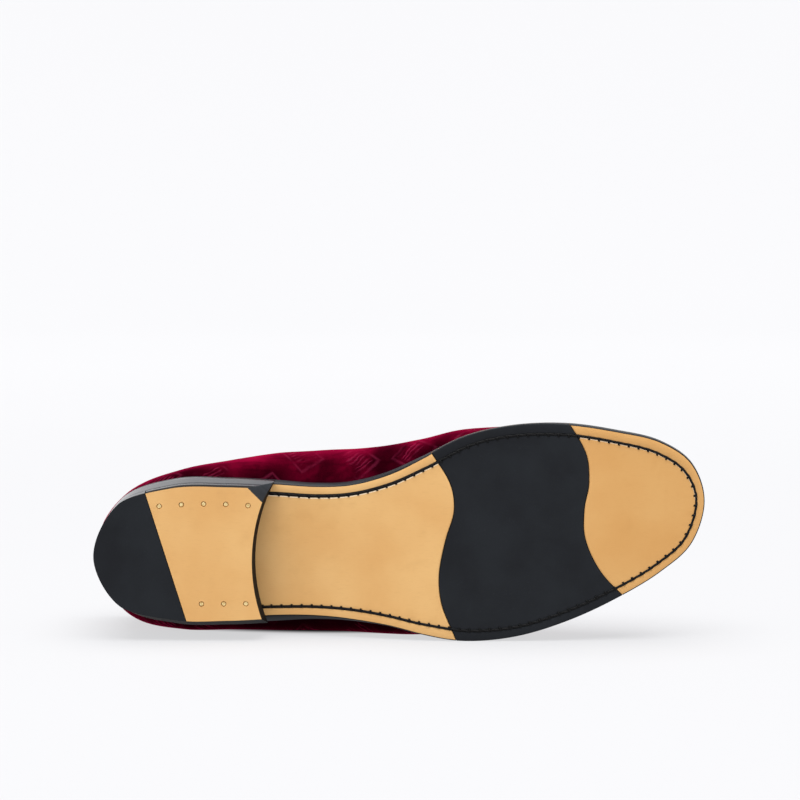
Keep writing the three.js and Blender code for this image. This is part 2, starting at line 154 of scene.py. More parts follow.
# Row of sole stitches: distance from the sole's edge and half width of its channel on each side
STITCH = table(
    "x inner outer inner_half outer_half",
    (80, 6.4, 7.6, 0.85, 0.7),
    (100, 6.1, 6.7, 0.85, 0.7),
    (120, 5.8, 5.8, 0.8, 0.68),
    (140, 5.7, 5.1, 0.75, 0.64),
    (160, 5.4, 5.1, 0.65, 0.6),
    (180, 4.7, 4.7, 0.6, 0.6),
    (200, 5.0, 4.3, 0.6, 0.6),
    (220, 5.4, 4.5, 0.64, 0.55),
    (240, 5.6, 4.6, 0.6, 0.5),
    (262, 5.9, 4.4, 0.5, 0.46),
    (278, 5.5, 4.4, 0.46, 0.46),
    (285, 4.4, 4.4, 0.46, 0.46),
)
RIDGE = table(
    "x height full",
    (36, 122, 0.58),
    (60, 116, 0.56),
    (88, 102, 0.54),
    (118, 86, 0.52),
    (140, 75, 0.52),
    (165, 64, 0.54),
    (195, 53.5, 0.56),
    (220, 47, 0.58),
    (243, 41.5, 0.6),
)
TOPLINE = table("x height", (0, 78), (20, 75), (45, 68), (70, 66), (95, 71.5), (118, 86))
WAVE = table(
    "y rear front",
    (-72, 141.3, 213.5),
    (-48, 155.8, 228.4),
    (-33, 164.9, 230.4),
    (-20, 166.7, 228.1),
    (-6, 162.6, 228.6),
    (10, 159.5, 236.2),
    (24, 160.6, 249.6),
    (38, 166.1, 264),
    (52, 172, 278),
)

# Soft folds of the velvet: where they run up the side, their width and height (a trough is below 0)
CREASES = table(
    "x side lean half_width depth",
    (134, -1, 0.25, 9, -1.2),
    (114, -1, -0.1, 8, 0.6),
    (152, -1, 0.3, 8, 0.5),
    (84, -1, 0.15, 10, -0.5),
    (150, 1, 0.2, 9, -0.4),
    (204, -1, 0.35, 5, -0.35),
    (200, 1, 0.35, 5, -0.35),
)
# Painted light and shade of the velvet's folds on the inner side: where they lie along the shoe and up to
# its widest line, their size and tone (brighter above 0, darker below)
FOLD_LIGHT_AND_SHADE = table(
    "x half_width rise half_height tone",
    (36, 30, 0.5, 2, -0.75),
    (73, 15, 1, 0.6, 0.35),
    (78, 24, 0.3, 0.5, -0.6),
    (107, 13, 0.65, 0.4, -0.4),
    (118, 11, 1, 0.6, 0.35),
    (136, 14, 0.5, 1.5, -0.9),
    (148, 9, 1, 0.6, 0.35),
    (163, 12, 0.5, 1, -0.6),
)

SLICE = 1e-3
HALVINGS = 40
LAST_ROW = len(SOLE["x"]) + 1


def row_turn(row):
    return row / (2 * LAST_ROW)


def hermite(start, end, leave, arrive, s):
    rise = s * s * (3 - 2 * s)
    return start + (end - start) * rise + leave * s * (1 - s) ** 2 + arrive * s * s * (s - 1)


def along(rows, column, place):
    """Smooth value of one column of a table at a place along it."""
    key = next(iter(rows.values()))
    value = rows[column]
    near = np.arange(len(key))
    before, after = np.maximum(near - 1, 0), np.minimum(near + 1, len(key) - 1)
    slope = (value[after] - value[before]) / (key[after] - key[before])
    at = np.clip(place, key[0], key[-1])
    i = np.clip(np.searchsorted(key, at) - 1, 0, len(key) - 2)
    span = key[i + 1] - key[i]
    return hermite(value[i], value[i + 1], span * slope[i], span * slope[i + 1], (at - key[i]) / span)


EDGE_POINTS = np.array(
    [HEEL_BACK, *zip(SOLE["x"], SOLE["outer"]), TOE_TIP, *reversed(list(zip(SOLE["x"], -SOLE["inner"])))]
)


def length(vectors):
    return np.linalg.norm(vectors, axis=-1, keepdims=True)


def unit(vectors):
    return vectors / np.maximum(length(vectors), TINY)


def edge_at(t):
    """Edge of the sole from above. A turn goes from the heel by the outer side and the toe home."""
    count = len(EDGE_POINTS)
    place = np.mod(np.asarray(t, float), 1) * count
    i = np.floor(place).astype(int)
    a, b, c, d = (EDGE_POINTS[(i + k) % count] for k in (-1, 0, 1, 2))
    ab, bc, cd = (length(step) ** 0.5 for step in (b - a, c - b, d - c))
    leave = bc * ((b - a) / ab - (c - a) / (ab + bc) + (c - b) / bc)
    arrive = bc * ((c - b) / bc - (d - b) / (bc + cd) + (d - c) / cd)
    return hermite(b, c, leave, arrive, (place - i)[..., None])


def is_outer(t):
    return np.mod(t, 1) <= 0.5


def inward_at(t):
    ahead = unit(edge_at(t + SLICE) - edge_at(t - SLICE))
    return np.stack([ahead[..., 1], -ahead[..., 0]], -1)


def set_in(t, distance):
    return edge_at(t) + inward_at(t) * np.asarray(distance, float)[..., None]


def bottom_at(x):
    """Height of the outsole's bottom: heel seat, arch, flat tread and toe spring."""
    seat_end = SEAT_BACK - SEAT_SLOPE * SEAT_END
    span = BALL_REAR - SEAT_END
    s = np.clip((x - SEAT_END) / span, 0, 1)
    arch = seat_end * (1 - s) ** 2 * (1 + 2 * s) - SEAT_SLOPE * span * s * (1 - s) ** 2
    spring = TOE_SPRING * np.clip((x - BALL_FRONT) / (TOE_TIP[0] - BALL_FRONT), 0, None) ** 2
    return np.where(x <= SEAT_END, SEAT_BACK - SEAT_SLOPE * x, arch + spring)


def at_height(flat, height):
    return np.concatenate([flat, np.broadcast_to(height, flat.shape[:-1])[..., None]], -1)


def lifted(flat, depth):
    """Points over the outsole's bottom by a depth."""
    return at_height(flat, bottom_at(flat[..., 0]) + depth)


def on_side(rows, t, ending=""):
    """Value of a table's column for the side of the shoe that a turn of the edge is on."""
    x = edge_at(t)[..., 0]
    return np.where(is_outer(t), along(rows, "outer" + ending, x), along(rows, "inner" + ending, x))


def bevel_at(t):
    return np.maximum(on_side(BEVEL, t), 0)


def outer_turn(t):
    return np.minimum(np.mod(t, 1), 1 - np.mod(t, 1))


def spine_at(t):
    """Halfway line of the shoe at a turn of the edge, fixed at the two pivots of heel and toe."""
    kept = np.clip(outer_turn(t), row_turn(HEEL_PIVOT_ROW), row_turn(TOE_PIVOT_ROW))
    middle = (edge_at(kept) + edge_at(1 - kept)) / 2
    x = middle[..., 0]
    lean = along(SIDE, "outer", x) - along(SIDE, "inner", x)
    return np.stack([x, middle[..., 1] + lean / 2, along(RIDGE, "height", x)], -1)


def ridge_fall(x):
    """Fall of the ridge for each millimetre forward."""
    back, here, front = (along(RIDGE, "height", x + step) for step in (-1, 0, 1))
    return np.where(x + 1 > RIDGE["x"][-1], back - here, (back - front) / 2)


def cubic(a, b, c, d, s):
    return a * (1 - s) ** 3 + 3 * b * s * (1 - s) ** 2 + 3 * c * s * s * (1 - s) + d * s**3


def upper_at(t, v):
    """Outer face of the upper: t runs round the edge, v from the lower edge (0) to the ridge (1)."""
    t, v = np.broadcast_arrays(np.asarray(t, float), np.asarray(v, float))
    foot, spine = edge_at(t), spine_at(t)
    out = foot - spine[..., :2]
    reach = np.linalg.norm(out, axis=-1)
    out = out / reach[..., None]
    foot_x = foot[..., 0]
    low = bottom_at(foot_x) + OUTSOLE + GAP
    rise = on_side(SIDE, t, "_rise")
    start = reach - along(SIDE, "set_in", foot_x)
    wide = reach + on_side(SIDE, t)
    widest = low + rise
    top = spine[..., 2]
    s = np.clip(v / WIDEST_SHARE, 0, 1)
    low_r = cubic(start, start, wide, wide, s)
    low_z = cubic(low, low + FOOT_UPRIGHT * rise, widest - SIDE_UPRIGHT * rise, widest, s)
    s = np.clip((v - WIDEST_SHARE) / (1 - WIDEST_SHARE), 0, 1)
    full = along(RIDGE, "full", spine[..., 0])
    crown = top - ridge_fall(spine[..., 0]) * out[..., 0] * full * wide
    high_r = cubic(wide, wide, full * wide, 0, s)
    high_z = cubic(widest, widest + full * (top - widest), crown, top, s)
    lower = v <= WIDEST_SHARE
    r, z = np.where(lower, low_r, high_r), np.where(lower, low_z, high_z)
    return np.concatenate([spine[..., :2] + out * r[..., None], z[..., None]], -1)


def halve(test, low, high):
    """Place between low and high up to which test holds, for arrays of places."""
    for _ in range(HALVINGS):
        middle = (low + high) / 2
        passed = test(middle)
        low, high = np.where(passed, middle, low), np.where(passed, high, middle)
    return (low + high) / 2


def top_share(t):
    """Share of the section where the upper ends: the topline behind the throat, else the ridge."""
    height = along(TOPLINE, "height", edge_at(t)[..., 0])
    share = halve(lambda v: upper_at(t, v)[..., 2] < height, np.zeros_like(t), np.ones_like(t))
    return np.where(outer_turn(t) < row_turn(THROAT_ROW - SLICE), share, 1.0)


def foot_at(t, inward):
    """Lower edge of the upper, moved in by a distance."""
    foot = upper_at(t, np.zeros_like(t))[..., :2]
    out = unit(foot - spine_at(t)[..., :2])
    return foot - out * inward


# Laying the shoe down
def turned(axis, degrees):
    c, s = math.cos(math.radians(degrees)), math.sin(math.radians(degrees))
    if axis == "x":
        return np.array([[1, 0, 0], [0, c, -s], [0, s, c]])
    return np.array([[c, -s, 0], [s, c, 0], [0, 0, 1]])


LYING = turned("x", -(90 + LIE_ROLL)) @ turned("z", LIE_TURN)
MOUNT = next(m for m in frame["record"]["mounts"] if m["name"] == "heel_tread")
SHIFT = np.array(MOUNT["pos_m"]) - LYING @ np.array(MOUNT_POINT) * MM


def laid(points):
    """Points of the standing shoe in the row frame, in metres."""
    return np.asarray(points) @ LYING.T * MM + SHIFT


# Mesh making
SHARP = math.radians(50)


def new_object(name, data):
    made = bpy.data.objects.new(name, data)
    bpy.context.scene.collection.objects.link(made)
    return made


def circle(sides):
    """Points round a circle of radius 1."""
    angle = np.arange(sides) / sides * 2 * np.pi
    return np.stack([np.cos(angle), np.sin(angle)], -1)


def hoops(middle, across, up, sides):
    """Oval rings along a path, from the vectors of their half widths and half heights."""
    ring = circle(sides)
    return middle[:, None] + across[:, None] * ring[:, :1] + up[:, None] * ring[:, 1:]


def tidy(mesh, near=2e-6):
    """Join points that coincide and turn all faces outwards."""
    work = bmesh.new()
    work.from_mesh(mesh)
    bmesh.ops.remove_doubles(work, verts=work.verts, dist=near)
    bmesh.ops.dissolve_degenerate(work, dist=near / 10, edges=work.edges)
    bmesh.ops.recalc_face_normals(work, faces=work.faces)
    work.to_mesh(mesh)
    work.free()


class Build:
    """Points and faces of one piece, with a material number for each face."""

    def __init__(self):
        self.points = []
        self.faces = []
        self.slots = []
        self.count = 0

    def add(self, points):
        """Keep points, and give back their numbers in the same arrangement."""
        points = np.asarray(points, float)
        ids = self.count + np.arange(points[..., 0].size).reshape(points.shape[:-1])
        self.points.append(points.reshape(-1, 3))
        self.count += ids.size
        return ids

    def grid(self, ids, slot=0):
        """Quads over a grid of point numbers. slot is one number, or numbers for its steps."""
        slots = np.broadcast_to(slot, (ids.shape[0] - 1, ids.shape[1] - 1))
        for upper, lower, numbers in zip(ids[:-1], ids[1:], slots):
            for k, number in enumerate(numbers):
                self.face((upper[k], upper[k + 1], lower[k + 1], lower[k]), int(number))

    def face(self, ids, slot=0):
        self.faces.append(tuple(ids))
        self.slots.append(slot)

    def tube(self, sections, slot=0, capped=False, last=0):
        """Skin through sections of equal length, each a closed ring. last is the end cap's slot."""
        ids = self.add(sections)
        self.grid(np.concatenate([ids, ids[:, :1]], 1), slot)
        if capped:
            self.face(ids[0][::-1])
            self.face(ids[-1], last)

    def mesh(self, name, materials, place=laid):
        """Mesh of all that was added, its points put in their place."""
        made = bpy.data.meshes.new(name)
        made.from_pydata(place(np.concatenate(self.points)).tolist(), [], self.faces)
        for material in materials:
            made.materials.append(material)
        made.polygons.foreach_set("material_index", self.slots)
        return made

    def piece(self, name, materials, nodes, slot, sharp=False):
        """Make the object, ride it on the shoe and let it stand for its CAD nodes."""
        mesh = self.mesh(name, materials)
        tidy(mesh)
        mesh.shade_smooth()
        if sharp:
            mesh.set_sharp_from_angle(angle=SHARP)
        made = new_object(name, mesh)
        if nodes:
            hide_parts(*nodes)
        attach(made, "root")
        return made


# Materials
def linear(red, green, blue):
    """Colour given in screen values of 0 to 255."""
    def one(c):
        c /= 255
        return c / 12.92 if c <= 0.04045 else ((c + 0.055) / 1.055) ** 2.4

    return (one(red), one(green), one(blue), 1.0)


class Shader:
    """A material whose nodes are added one by one around its main shader."""

    def __init__(self, name, roughness, **sockets):
        self.material = bpy.data.materials.new(name)
        self.material.use_nodes = True
        self.tree = self.material.node_tree
        self.main = self.tree.nodes["Principled BSDF"]
        self.main.inputs["Roughness"].default_value = roughness
        for socket, value in sockets.items():
            self.main.inputs[socket.replace("_", " ")].default_value = value
        self.place = self.tree.nodes.new("ShaderNodeTexCoord").outputs["Object"]

    def put(self, socket, value):
        if isinstance(value, bpy.types.NodeSocket):
            self.tree.links.new(value, socket)
        else:
            socket.default_value = value

    def node(self, kind, output, **values):
        made = self.tree.nodes.new("ShaderNode" + kind)
        for name, value in values.items():
            socket = made.inputs.get(name.replace("_", " "))
            if socket is None:
                setattr(made, name, value)
            else:
                self.put(socket, value)
        return made.outputs[output]

    def filled(self, kind, values, **settings):
        """Outputs of a node whose inputs are filled in their order."""
        made = self.tree.nodes.new("ShaderNode" + kind)
        for name, setting in settings.items():
            setattr(made, name, setting)
        for socket, value in zip(made.inputs, values):
            self.put(socket, value)
        return made.outputs

    def math(self, operation, *values):
        return self.filled("Math", values, operation=operation)[0]

    def noise(self, scale, detail=3.0, place=None):
        return self.node("TexNoise", "Fac", Vector=place or self.place, Scale=scale, Detail=detail)

    def parts(self, vector):
        """The three numbers of a vector."""
        return self.filled("SeparateXYZ", [vector])

    def stretched(self, *scale):
        return self.node("Mapping", "Vector", Vector=self.place, Scale=scale)

    def span(self, value, low, high, to_low=0.0, to_high=1.0):
        """A value between low and high as one between to_low and to_high, with soft ends."""
        ends = (value, low, high, to_low, to_high)
        return self.filled("MapRange", ends, interpolation_type="SMOOTHSTEP")[0]

    def mix(self, share, first, second):
        made = self.tree.nodes.new("ShaderNodeMix")
        made.data_type = "RGBA"
        for index, value in ((0, share), (6, first), (7, second)):
            self.put(made.inputs[index], value)
        return made.outputs[2]

    def colour(self, tone, *coats):
        """Set the colour: a tone and the coats over it, each its share and its own tone."""
        for share, coat in coats:
            tone = self.mix(share, tone, coat)
        self.put(self.main.inputs["Base Color"], tone)

    def roughness(self, value):
        self.put(self.main.inputs["Roughness"], value)

    def bump(self, height, distance, strength=1.0, under=None):
        below = {"Normal": under} if under else {}
        made = self.node("Bump", "Normal", Height=height, Distance=distance, Strength=strength, **below)
        self.put(self.main.inputs["Normal"], made)
        return made


def lozenges(shader):
    """Diaper of hatched lozenges in half drop: 1 where the pile stands up."""
    calc = shader.math
    flat = shader.parts(shader.node("UVMap", "UV", uv_map="pattern"))
    half_drop = calc("MULTIPLY", calc("MODULO", calc("FLOOR", flat[1]), 2.0), 0.5)
    wobble = calc("MULTIPLY_ADD", shader.noise(190, 3.0), 0.09, -0.545)
    a = calc("ADD", calc("FRACT", calc("ADD", flat[0], half_drop)), wobble)
    b = calc("ADD", calc("FRACT", flat[1]), wobble)
    lozenge = calc("ADD", calc("ABSOLUTE", a), calc("ABSOLUTE", b))
    inside = shader.span(lozenge, 0.2, 0.32, 1.0, 0.0)
    off_border = calc("ABSOLUTE", calc("SUBTRACT", lozenge, 0.38))
    stripe = calc("SINE", calc("MULTIPLY", calc("ADD", a, b), 60.0))
    hatch = calc("MULTIPLY", inside, shader.span(stripe, -0.4, 1.0))
    both = calc("MAXIMUM", hatch, shader.span(off_border, 0.0, 0.06, 0.7, 0.0))
    return calc("MULTIPLY", both, shader.span(shader.noise(90, 4.0), 0.38, 0.62))


def painted_fold_light(shader, share):
    """Painted light and shade of the folds on the inner side, bright above 0 and dark below, with
    wandering borders.
    """
    calc = shader.math
    place = shader.parts(shader.place)
    wander = calc("MULTIPLY_ADD", shader.noise(45, 3.0), 0.024, -0.012)
    x = calc("ADD", place[0], wander)
    total = 0.0
    for middle, half_width, rise, half_height, tone in zip(*FOLD_LIGHT_AND_SHADE.values()):
        across = calc("DIVIDE", calc("SUBTRACT", x, laid((middle, 0, 0))[0]), half_width * MM)
        up = calc("DIVIDE", calc("SUBTRACT", share, rise), half_height)
        square = calc("MULTIPLY_ADD", up, up, calc("MULTIPLY", across, across))
        total = calc("ADD", total, shader.span(calc("SQRT", square), 0.0, 1.0, tone, 0.0))
    return calc("MULTIPLY", total, shader.span(place[2], 0.05, 0.07))


def floor_shade(shader, outward, share):
    """1 on the low part of the outer side, where painted shade darkens the velvet that faces the floor."""
    low = shader.span(share, 0.6, 1.2, 1.0, 0.0)
    return shader.math("MULTIPLY", low, shader.span(outward, 0.2, 0.5))


# Deep tone of the velvet, for its streaks and its painted shade, and the tone of its painted highlights
VELVET_DEEP_AND_SHADE = linear(12, 0, 3)
VELVET_PAINTED_LIGHT = linear(134, 9, 46)


def velvet_material():
    """Cut pile with a tone-on-tone pattern standing up in it, with painted shade down in the angle of the
    welt, above the widest line and low on the outer side, and painted light and shade where it folds and
    along its widest line.
    """
    shader = Shader("velvet", 0.8, Sheen_Weight=0.42, Sheen_Roughness=0.32, Specular_IOR_Level=0.0)
    shader.main.inputs["Sheen Tint"].default_value = linear(255, 40, 110)
    raised = lozenges(shader)
    nap = shader.noise(1.0, 4.0, shader.stretched(60, 60, 24))
    brush = shader.noise(1.0, 5.0, shader.stretched(110, 110, 50))
    streak = shader.noise(1.0, 4.0, shader.stretched(70, 420, 420))
    pile = shader.noise(2600, 2.0)
    v, outward, _ = shader.parts(shader.node("UVMap", "UV", uv_map="section"))
    share = shader.math("DIVIDE", v, WIDEST_SHARE)
    fold_light = painted_fold_light(shader, share)
    shader.colour(
        linear(24, 0, 5),
        (shader.span(nap, 0.15, 0.85), linear(80, 1, 22)),
        (shader.span(brush, 0.45, 0.75, 0.0, 0.6), linear(118, 5, 38)),
        # painted highlight: lighter towards the widest line, where the light catches the pile
        (shader.span(share, 0.5, 1.0, 0.0, 0.35), VELVET_PAINTED_LIGHT),
        # painted light of the folds on the inner side
        (shader.span(fold_light, 0.0, 0.4, 0.0, 0.4), VELVET_PAINTED_LIGHT),
        (shader.span(streak, 0.45, 0.7, 0.0, 0.4), VELVET_DEEP_AND_SHADE),
        (shader.span(pile, 0.4, 0.75, 0.0, 0.3), linear(96, 2, 28)),
        # painted shade: darker down into the angle of the welt, and above the widest line where the
        # overhead light falls
        (shader.span(share, 0.0, 1.0, 0.75, 0.0), VELVET_DEEP_AND_SHADE),
        (shader.span(share, 1.0, 1.5, 0.0, 0.45), VELVET_DEEP_AND_SHADE),
        # painted shade of the folds on the inner side
        (shader.span(fold_light, -0.7, 0.0, 0.75, 0.0), VELVET_DEEP_AND_SHADE),
        (shader.math("MULTIPLY", raised, 0.22), linear(150, 44, 76)),
        # painted shade on the low part of the outer side, which faces the floor
        (shader.math("MULTIPLY", floor_shade(shader, outward, share), 0.8), linear(5, 0, 2)),
    )
    relief = shader.bump(raised, 0.0005, 0.7)
    shader.bump(pile, 0.0002, 0.5, relief)
    return shader.material


def tan_leather_material(name, highlight_share):
    """Smooth sole leather: faint clouds, fine fibre and a soft shine, warmer towards the toe.

    The second argument is the share of a pale painted highlight over it, for the lip that catches the
    light.
    """
    shader = Shader(name, 0.5, Specular_IOR_Level=0.35)
    cloud = shader.noise(28, 4.0)
    blotch = shader.noise(90, 3.0)
    fibre = shader.noise(1.0, 3.0, shader.stretched(300, 300, 1900))
    shader.colour(
        linear(215, 164, 99),
        (shader.span(cloud, 0.3, 0.7), linear(223, 177, 113)),
        (shader.span(blotch, 0.55, 0.8, 0.0, 0.35), linear(203, 153, 91)),
        (shader.span(fibre, 0.5, 0.8, 0.0, 0.18), linear(194, 143, 85)),
        (shader.span(shader.parts(shader.place)[0], 0.05, 0.11, 0.0, 0.4), linear(196, 138, 66)),
        (highlight_share, linear(255, 244, 222)),
    )
    shader.roughness(shader.span(blotch, 0.3, 0.7, 0.44, 0.56))
    shader.bump(fibre, 0.00006, 0.4)
    return shader.material


def rubber_material():
    """Smooth moulded rubber, near black, with a dull bloom."""
    shader = Shader("black_rubber", 0.52, Specular_IOR_Level=0.12)
    cloud = shader.noise(40, 4.0)
    speck = shader.noise(1500, 2.0)
    shader.colour(
        linear(24, 26, 30),
        (shader.span(cloud, 0.3, 0.7), linear(31, 34, 38)),
        (shader.span(speck, 0.62, 0.8, 0.0, 0.3), linear(48, 52, 58)),
    )
    shader.roughness(shader.span(cloud, 0.3, 0.7, 0.46, 0.58))
    shader.bump(speck, 0.00003, 0.5)
    return shader.material


def edge_material(name, smoothest, shine):
    """Leather edge inked black, with a blue cast and faint scuffs."""
    shader = Shader(name, smoothest, Specular_IOR_Level=shine)
    scuff = shader.noise(70, 3.0)
    shader.colour(linear(9, 12, 17), (shader.span(scuff, 0.35, 0.75), linear(19, 24, 31)))
    shader.roughness(shader.span(scuff, 0.3, 0.7, smoothest, smoothest + 0.06))
    return shader.material


def pores(shader):
    return shader.node("TexVoronoi", "Distance", Vector=shader.place, Scale=900.0)


def ribs(shader):
    return shader.node("TexWave", "Fac", Vector=shader.place, Scale=320.0, Distortion=1.0)


def plain_material(name, roughness, shine, scale, dark, pale, depth, grain=None):
    """Leather, thread or ribbon in two clouded tones, with the relief of a grain or of the clouds."""
    shader = Shader(name, roughness, Specular_IOR_Level=shine)
    cloud = shader.noise(scale, 3.0)
    shader.colour(linear(*dark), (shader.span(cloud, 0.3, 0.7), linear(*pale)))
    shader.bump(grain(shader) if grain else cloud, depth, 0.5)
    return shader.material


def brass_material():
    """Nail heads, polished by wear and slightly tarnished."""
    shader = Shader("brass", 0.3, Metallic=1.0)
    tarnish = shader.noise(900, 3.0)
    shader.colour(linear(246, 226, 170), (shader.span(tarnish, 0.35, 0.75), linear(206, 170, 104)))
    shader.roughness(shader.span(tarnish, 0.3, 0.7, 0.22, 0.42))
    return shader.material


VELVET = velvet_material()
TAN = tan_leather_material("tan_leather", 0.0)
# Tan with a pale painted highlight, for the lip beside the stitches that catches the light
LIP_HIGHLIGHT_TAN = tan_leather_material("painted_lip_highlight", 0.55)
RUBBER = rubber_material()
BURNISHED = edge_material("burnished_heel", 0.16, 0.6)
EDGE = edge_material("inked_edge", 0.34, 0.15)
BLACKENED = plain_material("blackened_leather", 0.7, 0.1, 220, (6, 6, 7), (18, 17, 17), 0.00005)
CHANNEL = plain_material("stitch_channel", 0.8, 0.1, 500, (12, 9, 8), (38, 26, 18), 0.00012)
THREAD = plain_material("waxed_thread", 0.55, 0.15, 1400, (5, 5, 6), (16, 16, 18), 0.00014)
LINING = plain_material("lining_leather", 0.6, 0.3, 35, (186, 142, 98), (204, 164, 120), 0.00008, pores)
RIBBON = plain_material("ribbon", 0.6, 0.15, 70, (52, 4, 16), (78, 8, 26), 0.0002, ribs)
BRASS = brass_material()

# Upper
UPPER_COLUMNS = 480
UPPER_ROWS = 56
ROW_SPACING = 1.15
CREASE_SPREAD = 2
MOTIF_PITCH = 27


def crease_height(points, t):
    """How far the folds of the velvet stand out at points of the upper."""
    side = np.where(is_outer(t), 1, -1)
    x, z = points[..., 0], points[..., 2]
    height = np.zeros_like(x)
    for place, of_side, lean, half_width, depth in zip(*CREASES.values()):
        away = (x - place - lean * (z - bottom_at(x) - 2 * OUTSOLE)) / half_width
        height += np.where(side == of_side, depth * np.exp(-(away**2)), 0)
    return height


def normals_of(points):
    """Outward normals of a grid of points that runs round the shoe and up."""
    round_shoe = np.roll(points, -1, 0) - np.roll(points, 1, 0)
    return unit(np.cross(np.gradient(points, axis=1), round_shoe) + TINY)


def girth_from_ridge(turns, v):
    """Distance down the section from the ridge, so that the pattern is alike on both sides."""
    even = np.linspace(0, 1, v.shape[1])
    section = upper_at(turns, np.broadcast_to(even, v.shape))[..., 1:]
    step = length(np.diff(section, axis=1))[..., 0]
    run = np.concatenate([np.zeros((len(v), 1)), np.cumsum(step, 1)], 1)
    return np.stack([total[-1] - np.interp(place, even, total) for place, total in zip(v, run)])


def lay_flat(piece, points, layers):
    """Give each corner of a mesh the flat places of the nearest point it was made from."""
    points = laid(points.reshape(-1, 3))
    tree = KDTree(len(points))
    for i, point in enumerate(points):
        tree.insert(point, i)
    tree.balance()
    mesh = piece.data
    nearest = [tree.find(vertex.co)[1] for vertex in mesh.vertices]
    corners = np.array([nearest[loop.vertex_index] for loop in mesh.loops])
    for name, flat in layers.items():
        layer = mesh.uv_layers.new(name=name)
        layer.data.foreach_set("uv", flat.reshape(-1, 2)[corners].ravel())


def make_upper():
    t = np.arange(UPPER_COLUMNS) / UPPER_COLUMNS
    share = np.linspace(0, 1, UPPER_ROWS + 1) ** ROW_SPACING
    v = top_share(t)[:, None] * share
    turns = np.broadcast_to(t[:, None], v.shape)
    points = upper_at(turns, v)
    fade = np.sin(np.pi * share) ** 0.5
    off_widest = np.clip(CREASE_SPREAD * np.abs(v / WIDEST_SHARE - 1), 0, 1)
    rise = crease_height(points, turns) * fade * off_widest
    points = points + normals_of(points) * rise[..., None]

    work = Build()
    ids = work.add(points)
    work.grid(np.concatenate([ids, ids[:1]], 0))
    upper = work.piece("upper", [VELVET, LINING, RIBBON], ["upper"], "velvet_on_leather")
    flat = np.stack([points[..., 0], girth_from_ridge(turns, v)], -1) / MOTIF_PITCH + 0.5
    outward = np.sin(2 * np.pi * turns)
    lay_flat(upper, points, {"pattern": flat, "section": np.stack([v, outward], -1)})
    wall = upper.modifiers.new("wall", "SOLIDIFY")
    wall.thickness = WALL * MM
    wall.offset = -1
    wall.use_even_offset = False
    wall.material_offset = 1
    wall.material_offset_rim = 2


BINDING_STEPS = 320
BINDING_SIDES = 12
BINDING_SPACING = 1.6
BINDING_HALF_WIDTH = WALL / 2 + 0.55
BINDING_HALF_HEIGHT = 2.1
BINDING_DROP = 0.6 * BINDING_HALF_HEIGHT


def make_binding():
    """Ribbon folded over the topline, a closed loop through the throat."""
    u = np.linspace(-1, 1, BINDING_STEPS, endpoint=False)
    t = np.sign(u) * row_turn(THROAT_ROW) * (1 - (1 - np.abs(u)) ** BINDING_SPACING)
    top = np.where(np.arange(len(t)) == 0, 1.0, top_share(t))
    path = upper_at(t, top)
    ahead = unit(np.roll(path, -1, 0) - np.roll(path, 1, 0))
    round_shoe = upper_at(t + SLICE, top) - upper_at(t - SLICE, top)
    face = np.cross(path - upper_at(t, top - 2 * SLICE), round_shoe)
    up = unit(np.cross(ahead, face))
    out = unit(np.cross(up, ahead))
    middle = path - out * WALL / 2 - up * BINDING_DROP
    ring = hoops(middle, out * BINDING_HALF_WIDTH, up * BINDING_HALF_HEIGHT, BINDING_SIDES)
    work = Build()
    work.tube(np.concatenate([ring, ring[:1]], 0))
    work.piece("topline_binding", [RIBBON], (), "velvet_on_leather")


# Sole: sections across it from the heel's back to the toe, with columns that follow the waves
CHANNEL_DEPTH = 0.7
ROUND = 0.45
TOP_INSET = 7
ACROSS = 40
REAR_STEPS, REAR_LENGTH = 150, 170
INSERT_STEPS, INSERT_LENGTH = 90, 75
TOE_STEPS, TOE_LENGTH = 70, 60
OVER_STEPS = 60
WAVE_FADE = 42
WAVE_EDGE = 0.4
WAVE_DIP = 0.3
# The last slot is the lip beside the stitches, with its painted highlight
TAN_SLOT, EDGE_SLOT, CHANNEL_SLOT, HIGHLIGHT_SLOT = 0, 1, 2, 3
EDGE_LINE, STITCH_LINE = 0, 1

# Rings of the sole's edge from its top to its bottom: the line that they are set in from, by how much
# (in half widths of the channel from the stitches), depth over the bottom and material
EDGE_RINGS = table(
    "line inset depth slot",
    (EDGE_LINE, TOP_INSET, OUTSOLE, EDGE_SLOT),
    (EDGE_LINE, ROUND, OUTSOLE, EDGE_SLOT),
    (EDGE_LINE, 0.3 * ROUND, OUTSOLE - 0.3 * ROUND, EDGE_SLOT),
    (EDGE_LINE, 0, OUTSOLE - ROUND, EDGE_SLOT),
    (EDGE_LINE, 0, INSERT_DEPTH, EDGE_SLOT),
    (EDGE_LINE, 0, ROUND, EDGE_SLOT),
    (EDGE_LINE, 0.3 * ROUND, 0.3 * ROUND, EDGE_SLOT),
    (EDGE_LINE, ROUND, 0, TAN_SLOT),
    (STITCH_LINE, -1.4, 0, TAN_SLOT),
    (STITCH_LINE, -1, 0.1, CHANNEL_SLOT),
    (STITCH_LINE, -0.8, CHANNEL_DEPTH, CHANNEL_SLOT),
    (STITCH_LINE, 0.8, CHANNEL_DEPTH, CHANNEL_SLOT),
    # the lip's face, which takes the painted highlight on the inner side
    (STITCH_LINE, 1, 0.1, HIGHLIGHT_SLOT),
    (STITCH_LINE, 1.6, -0.25, TAN_SLOT),
    (STITCH_LINE, 2.8, 0, TAN_SLOT),
    (STITCH_LINE, 3.4, 0, TAN_SLOT),
)


